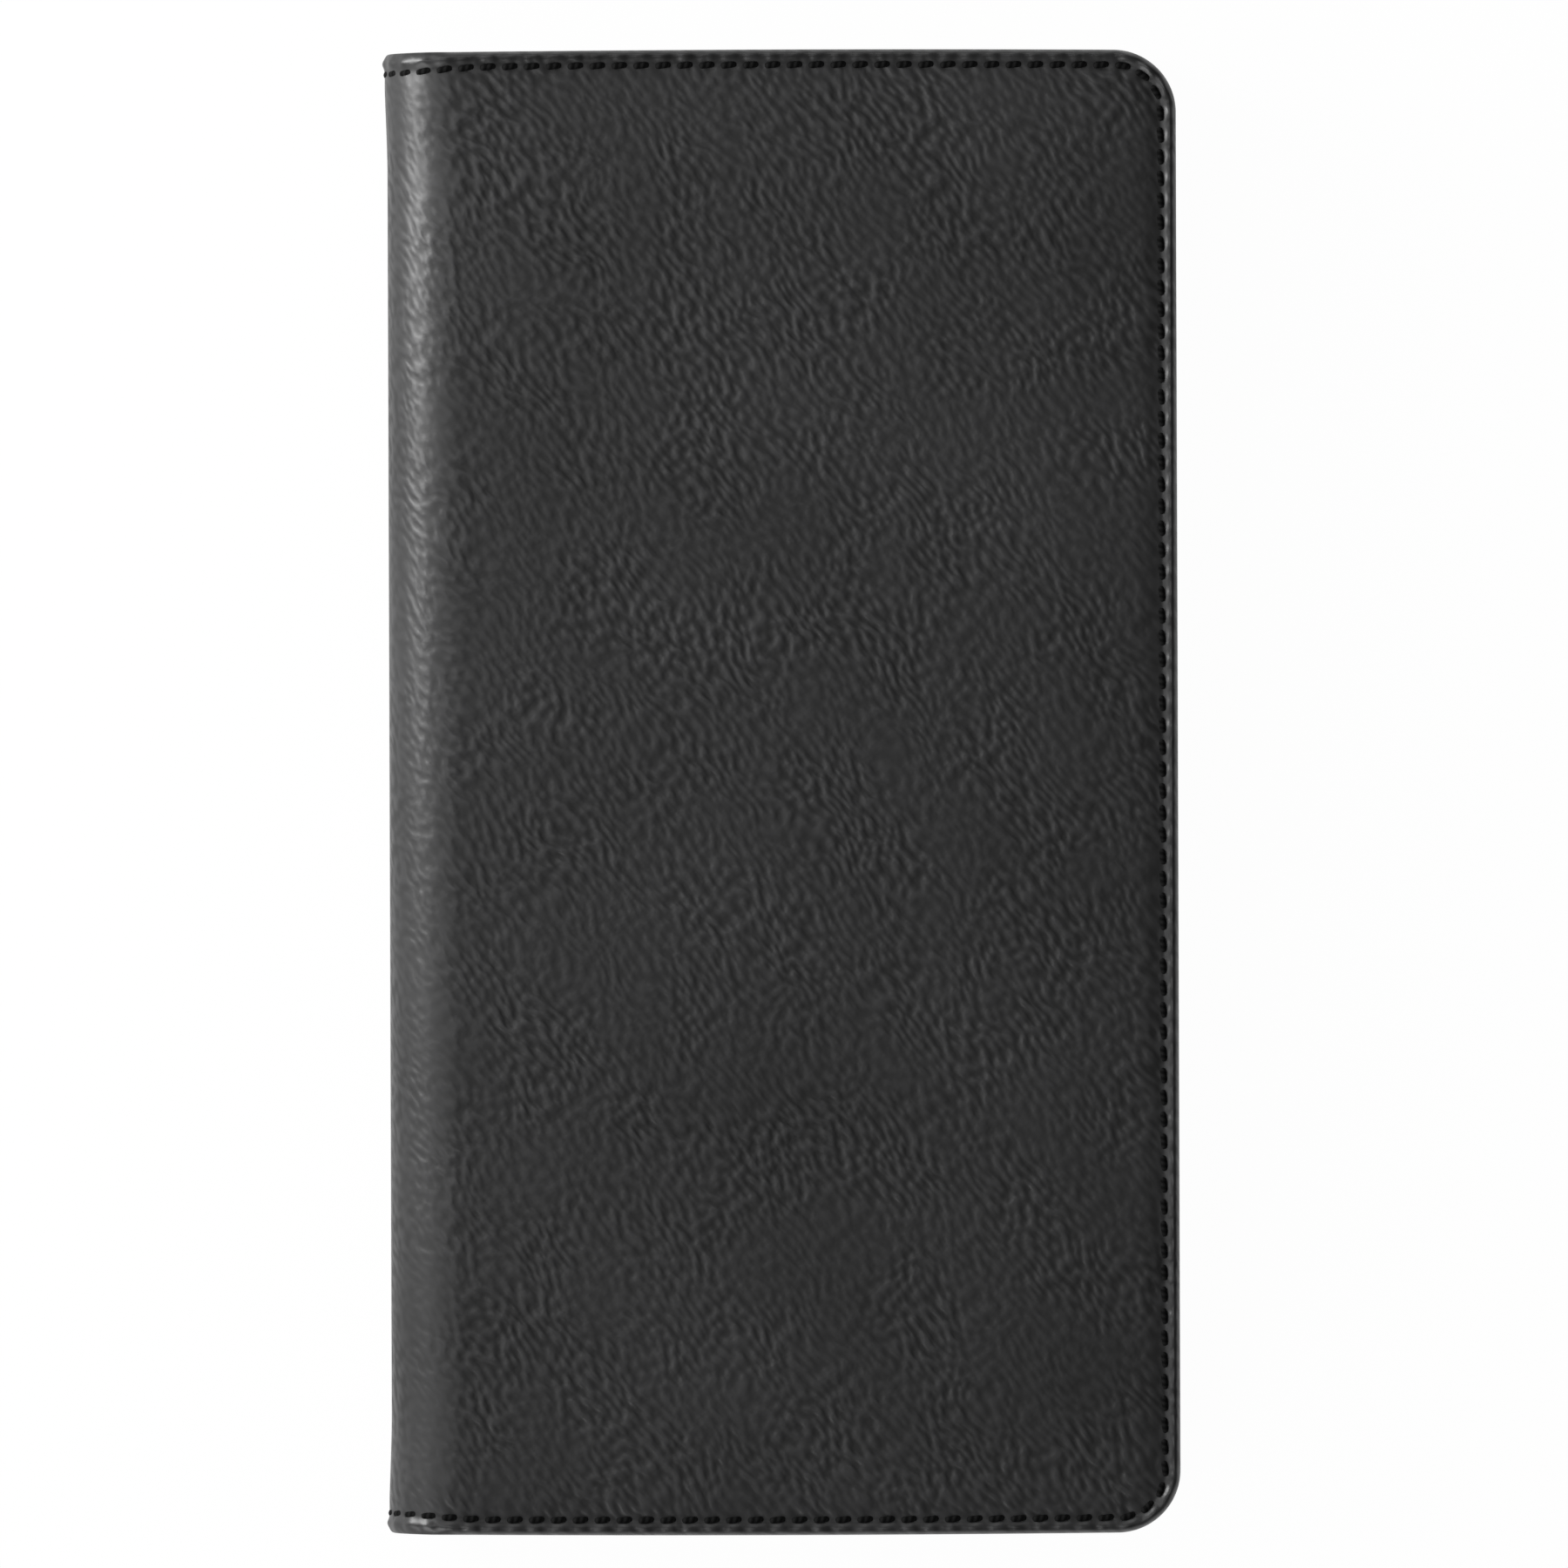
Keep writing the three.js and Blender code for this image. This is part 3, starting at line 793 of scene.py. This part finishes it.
def add(tree, kind, settings=(), **inputs):
    """A node with its settings and its inputs, each a value or another node's output.

    An input is given by its name, or as i0, i1 and so on by its number.
    """
    node = tree.nodes.new(kind)
    for key, value in dict(settings).items():
        setattr(node, key, value)
    for key, value in inputs.items():
        socket = node.inputs[int(key[1:]) if key[1:].isdigit() else key]
        if isinstance(value, bpy.types.NodeSocket):
            tree.links.new(value, socket)
        else:
            socket.default_value = value
    return node


def math_node(tree, operation, a, b=0.0, c=0.0):
    """One step of arithmetic on values or outputs."""
    return add(tree, "ShaderNodeMath", {"operation": operation}, i0=a, i1=b, i2=c).outputs[0]


def vector_node(tree, operation, a, b):
    """One step of arithmetic on two vectors."""
    return add(tree, "ShaderNodeVectorMath", {"operation": operation}, i0=a, i1=b).outputs[0]


def map_range(tree, value, low, high, to_low=0.0, to_high=1.0):
    """A value moved softly from one range to another."""
    ends = {"From Min": low, "From Max": high, "To Min": to_low, "To Max": to_high}
    node = add(tree, "ShaderNodeMapRange", {"interpolation_type": "SMOOTHSTEP"}, Value=value, **ends)
    return node.outputs["Result"]


def noise(tree, vector, scale, detail):
    """Flat noise at a number of lumps to the unit; returns its outputs."""
    return add(tree, "ShaderNodeTexNoise", {"noise_dimensions": "2D"}, Vector=vector, Scale=scale,
               Detail=detail, Roughness=0.5).outputs


def grained_hide_group():
    """Leather grain on a flat pattern in millimetres: short slanting furrows over a fine pebble.

    The furrows wander, and are deep in some patches and shallow in others. Tone goes from 0 in a furrow to 1
    on a ridge, with a slow mottle; the finishes paint it into the colour as shade, dark in the furrows and
    light on the ridges, while the mottle is the leather's own uneven tone.
    """
    middle = 0.62
    wander = (2.2, 2.2, 0.0)
    stretch = (0.58, 1.0, 1.0)
    least_depth = 0.52
    patch_depth = 0.62
    mottling = 0.9
    group, given, result = node_group(
        "grained_hide",
        [("Pattern", "NodeSocketVector", None), ("Slant", "NodeSocketFloat", FURROW_SLANT),
         ("Crease", "NodeSocketFloat", 1.0), ("Pebble", "NodeSocketFloat", 0.05),
         ("Patch", "NodeSocketFloat", 0.075)],
        ["Height", "Tone"])
    pattern = given.outputs["Pattern"]
    drift = noise(group, pattern, 0.1, 1.0)["Color"]
    drift = vector_node(group, "SUBTRACT", drift, (0.5, 0.5, 0.5))
    drift = vector_node(group, "MULTIPLY", drift, wander)
    warped = vector_node(group, "ADD", pattern, drift)
    patches = map_range(group, noise(group, pattern, given.outputs["Patch"], 3.0)["Fac"], 0.34, 0.66)
    turned = add(group, "ShaderNodeVectorRotate", {"rotation_type": "Z_AXIS"}, Vector=warped,
                 Angle=given.outputs["Slant"]).outputs[0]
    drawn = vector_node(group, "MULTIPLY", turned, stretch)
    ridges = map_range(group, noise(group, drawn, 1.02, 0.0)["Fac"], 0.1, 0.88)
    swing = math_node(group, "MULTIPLY", math_node(group, "SUBTRACT", ridges, middle),
                      math_node(group, "MULTIPLY_ADD", patches, patch_depth, least_depth))
    relief = math_node(group, "ADD", swing, middle)
    cells = add(group, "ShaderNodeTexVoronoi", {"feature": "SMOOTH_F1", "voronoi_dimensions": "2D"},
                Vector=warped, Scale=1.3, Smoothness=0.7)
    pebble = map_range(group, cells.outputs["Distance"], 0.0, 0.55, 1.0, 0.0)
    height = math_node(group, "ADD", math_node(group, "MULTIPLY", relief, given.outputs["Crease"]),
                       math_node(group, "MULTIPLY", pebble, given.outputs["Pebble"]))
    group.links.new(height, result.inputs["Height"])
    # The relief goes into Tone for painted shade, dark in the furrows and light on the ridges; the slow
    # mottle added to it is the leather's own uneven tone
    mottle = math_node(group, "SUBTRACT", noise(group, pattern, 0.035, 2.0)["Fac"], 0.5)
    mottle = math_node(group, "MULTIPLY", mottle, mottling)
    group.links.new(math_node(group, "ADD", relief, mottle), result.inputs["Tone"])
    return group


def woven_group():
    """A plain weave on a flat pattern in millimetres."""
    group, given, result = node_group(
        "woven_lining", [("Pattern", "NodeSocketVector", None), ("Yarns", "NodeSocketFloat", 1.7)],
        ["Height", "Tone"])
    scaled = add(group, "ShaderNodeVectorMath", {"operation": "SCALE"}, i0=given.outputs["Pattern"],
                 Scale=given.outputs["Yarns"]).outputs[0]
    parts = add(group, "ShaderNodeSeparateXYZ", i0=scaled).outputs
    warp = math_node(group, "SINE", math_node(group, "MULTIPLY", parts["X"], math.tau))
    weft = math_node(group, "SINE", math_node(group, "MULTIPLY", parts["Y"], math.tau))
    over = math_node(group, "MULTIPLY", warp, weft)
    height = map_range(group, over, -1.0, 1.0)
    slub = noise(group, given.outputs["Pattern"], 0.5, 3.0)["Fac"]
    group.links.new(height, result.inputs["Height"])
    group.links.new(slub, result.inputs["Tone"])
    return group


def twisted_group():
    """The plies of a twisted thread, on a pattern that runs along and round each stitch."""
    group, given, result = node_group(
        "twisted_thread", [("Pattern", "NodeSocketVector", None), ("Plies", "NodeSocketFloat", 3.0)],
        ["Height"])
    parts = add(group, "ShaderNodeSeparateXYZ", i0=given.outputs["Pattern"]).outputs
    turns = math_node(group, "MULTIPLY", parts["X"], given.outputs["Plies"])
    run = math_node(group, "ADD", turns, parts["Y"])
    wave = math_node(group, "SINE", math_node(group, "MULTIPLY", run, math.tau))
    group.links.new(map_range(group, wave, -1.0, 1.0), result.inputs["Height"])
    return group


def start_material(name):
    """A new material, its node tree and its Principled shader."""
    material = bpy.data.materials.new(name)
    material.use_nodes = True
    tree = material.node_tree
    return material, tree, tree.nodes["Principled BSDF"]


def flat_pattern(tree):
    """The flat pattern that a piece keeps as its UV map."""
    return add(tree, "ShaderNodeUVMap", {"uv_map": "Pattern"}).outputs[0]


def in_millimetres(tree, place):
    """Coordinates in metres, turned into millimetres."""
    return add(tree, "ShaderNodeVectorMath", {"operation": "SCALE"}, i0=place, Scale=1 / MM).outputs[0]


def add_group(tree, group, **inputs):
    """A group in a material, with its inputs; returns its outputs."""
    return add(tree, "ShaderNodeGroup", {"node_tree": group}, **inputs).outputs


def tinted(tree, colour, dark, light, mask):
    """A colour that shades from dark to light shares of itself with a mask."""
    mix = add(tree, "ShaderNodeMix", {"data_type": "RGBA"}, Factor=mask)
    mix.inputs["A"].default_value = (*[dark * c for c in colour], 1)
    mix.inputs["B"].default_value = (*[light * c for c in colour], 1)
    return mix.outputs["Result"]


def set_bump(tree, shader, height, depth):
    """Relief on a shader, from a height of 0 to 1 and its depth in metres."""
    bump = add(tree, "ShaderNodeBump", Height=height, Strength=1.0, Distance=depth)
    tree.links.new(bump.outputs[0], shader.inputs["Normal"])


def leather_finish(name, group, colour, crease, pebble, patch, depth, roughness):
    """Grained leather, smoother where it is rubbed and with less grain where it is stretched."""
    tree, shader = start_material(name)[1:]
    pattern = in_millimetres(tree, flat_pattern(tree))
    grain = add_group(tree, group, Pattern=pattern, Slant=FURROW_SLANT, Crease=crease, Pebble=pebble,
                      Patch=patch)
    # Painted shade: the leather colour is darker in the grain's furrows and lighter on its ridges
    painted_relief_shade = tinted(tree, colour, FURROW_PAINTED_SHADE, RIDGE_PAINTED_LIGHT, grain["Tone"])
    tree.links.new(painted_relief_shade, shader.inputs["Base Color"])
    rough = map_range(tree, grain["Tone"], 0.0, 1.0, roughness + 0.08, roughness - 0.02)
    rubbed = add(tree, "ShaderNodeAttribute", {"attribute_name": "rubbed"}).outputs["Fac"]
    worn = add(tree, "ShaderNodeMix", {"data_type": "FLOAT"}, Factor=rubbed, A=rough,
               B=RUBBED_ROUGHNESS)
    tree.links.new(worn.outputs["Result"], shader.inputs["Roughness"])
    stretched = add(tree, "ShaderNodeAttribute", {"attribute_name": "stretched"}).outputs["Fac"]
    shallow = map_range(tree, stretched, 0.0, 1.0, 1.0, STRETCHED_GRAIN)
    set_bump(tree, shader, math_node(tree, "MULTIPLY", grain["Height"], shallow), depth)


def lining_finish(group, colour):
    """Dull woven cloth."""
    tree, shader = start_material("woven_lining_black")[1:]
    weave = add_group(tree, group, Pattern=in_millimetres(tree, flat_pattern(tree)), Yarns=1.7)
    tree.links.new(tinted(tree, colour, 0.7, 1.3, weave["Tone"]), shader.inputs["Base Color"])
    tree.links.new(map_range(tree, weave["Height"], 0.0, 1.0, 0.75, 0.9), shader.inputs["Roughness"])
    shader.inputs["Sheen Weight"].default_value = 0.04
    set_bump(tree, shader, weave["Height"], 0.09 * MM)


def thread_finish(group, colour):
    """Dull twisted sewing thread."""
    tree, shader = start_material("twisted_thread_black")[1:]
    plies = add_group(tree, group, Pattern=flat_pattern(tree), Plies=3.0)
    # Painted shade: the thread's colour is darker in the grooves between its plies and lighter on their
    # crowns
    tree.links.new(tinted(tree, colour, 0.5, 1.5, plies["Height"]), shader.inputs["Base Color"])
    tree.links.new(map_range(tree, plies["Height"], 0.0, 1.0, 0.95, 0.8), shader.inputs["Roughness"])
    shader.inputs["Specular IOR Level"].default_value = 0.08
    set_bump(tree, shader, plies["Height"], 0.05 * MM)


def board_finish(colour):
    """Pressed board, on object coordinates because it keeps its own solid."""
    tree, shader = start_material("pressed_board")[1:]
    place = add(tree, "ShaderNodeTexCoord").outputs["Object"]
    fibre = noise(tree, in_millimetres(tree, place), 0.9, 4.0)["Fac"]
    tree.links.new(tinted(tree, colour, 0.8, 1.2, fibre), shader.inputs["Base Color"])
    tree.links.new(map_range(tree, fibre, 0.3, 0.7, 0.85, 0.97), shader.inputs["Roughness"])
    set_bump(tree, shader, fibre, 0.05 * MM)


def made_finish(name):
    """A material that the finishes operator has made."""
    found = bpy.data.materials.get(name)
    if found is None:
        raise RuntimeError(f"make the finishes before {name} is used")
    return found


# Operators


class HOLDER_OT_finishes(bpy.types.Operator):
    """Make the leather, lining, thread and board materials"""

    bl_idname = "holder.finishes"
    bl_label = "Finishes"

    def execute(self, context):
        colours = context.scene.holder_colours
        hide = grained_hide_group()
        leather_finish("cover_leather_black", hide, colours.cover, crease=1.0, pebble=0.05, patch=0.075,
                       depth=0.12 * MM, roughness=0.42)
        leather_finish("panel_leather_black", hide, colours.panel, crease=0.45, pebble=0.5, patch=0.16,
                       depth=0.05 * MM, roughness=0.5)
        lining_finish(woven_group(), colours.lining)
        thread_finish(twisted_group(), colours.thread)
        board_finish(colours.board)
        return {"FINISHED"}


class HOLDER_OT_cover_skins(bpy.types.Operator):
    """Make the leather skin of each cover, from its turned edge to the middle of the fold"""

    bl_idname = "holder.cover_skins"
    bl_label = "Cover skins"

    def execute(self, context):
        for side in BODIES:
            make_cover_skin(context.scene.holder_sizes, side, made_finish("cover_leather_black"))
        return {"FINISHED"}


class HOLDER_OT_cover_stitches(bpy.types.Operator):
    """Sew the seam round the covers and across the ends of the fold"""

    bl_idname = "holder.cover_stitches"
    bl_label = "Cover stitches"

    def execute(self, context):
        for side in BODIES:
            make_cover_stitches(context.scene.holder_sizes, side, made_finish("twisted_thread_black"))
        return {"FINISHED"}


class HOLDER_OT_linings(bpy.types.Operator):
    """Lay the woven linings and the tape inside the fold"""

    bl_idname = "holder.linings"
    bl_label = "Linings"

    def execute(self, context):
        for side in BODIES:
            make_lining(side, made_finish("woven_lining_black"))
            make_fold_tape(side, made_finish("woven_lining_black"))
        return {"FINISHED"}


class HOLDER_OT_panels(bpy.types.Operator):
    """Make the note pocket panels and the card slots"""

    bl_idname = "holder.panels"
    bl_label = "Panels and slots"

    def execute(self, context):
        leather = made_finish("panel_leather_black")
        for side in BODIES:
            make_panel(f"{side}_inner_panel", side, "both", INNER_SHEET, leather)
            for bank in BANKS:
                for row in ROWS:
                    make_panel(f"{side}_{bank}_card_slot_{row}", side, bank, SLOT_SHEET, leather)
        return {"FINISHED"}


class HOLDER_OT_slot_stitches(bpy.types.Operator):
    """Sew the card slots down along their sides"""

    bl_idname = "holder.slot_stitches"
    bl_label = "Slot stitches"

    def execute(self, context):
        for side in BODIES:
            make_slot_stitches(context.scene.holder_sizes, side, made_finish("twisted_thread_black"))
        return {"FINISHED"}


class HOLDER_OT_boards(bpy.types.Operator):
    """Give the stiffener boards their pressed-board finish"""

    bl_idname = "holder.boards"
    bl_label = "Boards"

    def execute(self, context):
        for side in BODIES:
            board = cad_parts[f"{side}_stiffener_board"]
            board.data.materials.clear()
            board.data.materials.append(made_finish("pressed_board"))
        return {"FINISHED"}


# Stage

CAMERA_HEIGHT = 2.4
VIEW_SPAN = 200.4 * MM
AIM = (0.1 * MM, 1.06 * MM)
CAMERA_ROLL = math.radians(-0.2)
SENSOR = 36.0
FLOOR_DROP = 0.6 * MM
FLOOR_HALF = 40.0
FLOOR_GREY = (0.3, 0.3, 0.3, 1)
FLOOR_GLOW = 1.04
FLOOR_WHITE = 0.94  # share of the floor's glow in what the camera and mirrors see
WORLD_STRENGTH = 0.22
SOFTBOXES = (  # name, place, point that it faces, size and power
    ("left_softbox", (-0.46, 0.2, 0.17), (-0.04, 0.04, 0.01), (0.26, 0.24), 3.4),
    ("overhead_softbox", (-0.35, 0.15, 0.95), (0, 0, 0), (0.4, 0.4), 1.32),
    ("lower_softbox", (-0.55, -0.62, 0.4), (-0.02, -0.03, 0), (0.8, 0.5), 5.2),
    ("top_softbox", (-0.3, 0.75, 0.4), (0, 0, 0), (0.8, 0.4), 1.8),
)


def seen_or_mirrored(tree):
    """1 for the rays with which the camera, a gloss or a clear piece sees the stage."""
    light_path = add(tree, "ShaderNodeLightPath").outputs
    mirrored = math_node(tree, "MAXIMUM", light_path["Is Glossy Ray"], light_path["Is Transmission Ray"])
    return math_node(tree, "MAXIMUM", light_path["Is Camera Ray"], mirrored)


def floor_material():
    """A pale floor that the camera sees as almost plain white, keeping a faint shadow."""
    material, tree, shader = start_material("pale_floor")
    shader.inputs["Base Color"].default_value = FLOOR_GREY
    shader.inputs["Roughness"].default_value = 0.9
    white = add(tree, "ShaderNodeEmission", Strength=FLOOR_GLOW)
    seen = math_node(tree, "MULTIPLY", seen_or_mirrored(tree), FLOOR_WHITE)
    mix = add(tree, "ShaderNodeMixShader", i0=seen, i1=shader.outputs[0], i2=white.outputs[0])
    tree.links.new(mix.outputs[0], tree.nodes["Material Output"].inputs["Surface"])
    return material


def make_floor():
    """A wide floor just under the holder."""
    size = FLOOR_HALF
    z = CAD_LOW.z - FLOOR_DROP
    corners = [(-size, -size, z), (size, -size, z), (size, size, z), (-size, size, z)]
    mesh = bpy.data.meshes.new("floor")
    mesh.from_pydata(corners, [], [(0, 1, 2, 3)])
    mesh.materials.append(floor_material())
    floor = bpy.data.objects.new("floor", mesh)
    bpy.context.scene.collection.objects.link(floor)


def make_camera():
    """A long lens straight above, so that the cover is seen square on."""
    data = bpy.data.cameras.new("camera")
    data.sensor_width = SENSOR
    data.lens = SENSOR * CAMERA_HEIGHT / VIEW_SPAN
    camera = bpy.data.objects.new("camera", data)
    camera.location = (AIM[0], AIM[1], THICKNESS + CAMERA_HEIGHT)
    camera.rotation_euler = (0, 0, CAMERA_ROLL)
    bpy.context.scene.collection.objects.link(camera)
    bpy.context.scene.camera = camera


def make_softbox(name, place, aim, size, power):
    """A soft rectangular lamp that faces a point."""
    data = bpy.data.lights.new(name, "AREA")
    data.shape = "RECTANGLE"
    data.size, data.size_y = size
    data.energy = power
    lamp = bpy.data.objects.new(name, data)
    lamp.location = place
    lamp.rotation_euler = (Vector(aim) - Vector(place)).to_track_quat("-Z", "Y").to_euler()
    bpy.context.scene.collection.objects.link(lamp)


def make_world():
    """Even white light from all round."""
    world = bpy.data.worlds.new("studio")
    world.use_nodes = True
    background = world.node_tree.nodes["Background"]
    background.inputs["Color"].default_value = (1, 1, 1, 1)
    background.inputs["Strength"].default_value = WORLD_STRENGTH
    bpy.context.scene.world = world


class HOLDER_OT_stage(bpy.types.Operator):
    """Set the pale floor, the soft studio light and the camera"""

    bl_idname = "holder.stage"
    bl_label = "Stage"

    def execute(self, context):
        make_floor()
        make_camera()
        make_world()
        for softbox in SOFTBOXES:
            make_softbox(*softbox)
        context.scene.view_settings.view_transform = "Standard"
        return {"FINISHED"}


class HOLDER_PT_panel(bpy.types.Panel):
    """Sizes, colours and steps of the card holder"""

    bl_idname = "HOLDER_PT_panel"
    bl_label = "Card Holder"
    bl_space_type = "VIEW_3D"
    bl_region_type = "UI"
    bl_category = "Card Holder"

    def draw(self, context):
        for group in (context.scene.holder_sizes, context.scene.holder_colours):
            for name in group.__annotations__:
                self.layout.prop(group, name)
        for operator in OPERATORS:
            self.layout.operator(operator.bl_idname)


OPERATORS = (
    HOLDER_OT_finishes,
    HOLDER_OT_cover_skins,
    HOLDER_OT_cover_stitches,
    HOLDER_OT_linings,
    HOLDER_OT_panels,
    HOLDER_OT_slot_stitches,
    HOLDER_OT_boards,
    HOLDER_OT_stage,
)
CLASSES = (HolderSizes, HolderColours, *OPERATORS, HOLDER_PT_panel)


def register():
    for cls in CLASSES:
        bpy.utils.register_class(cls)
    bpy.types.Scene.holder_sizes = bpy.props.PointerProperty(type=HolderSizes)
    bpy.types.Scene.holder_colours = bpy.props.PointerProperty(type=HolderColours)


def unregister():
    del bpy.types.Scene.holder_colours
    del bpy.types.Scene.holder_sizes
    for cls in reversed(CLASSES):
        bpy.utils.unregister_class(cls)


def main():
    register()
    bpy.ops.holder.finishes()
    bpy.ops.holder.cover_skins()
    bpy.ops.holder.cover_stitches()
    bpy.ops.holder.linings()
    bpy.ops.holder.panels()
    bpy.ops.holder.slot_stitches()
    bpy.ops.holder.boards()
    bpy.ops.holder.stage()


if __name__ == "__main__":
    main()
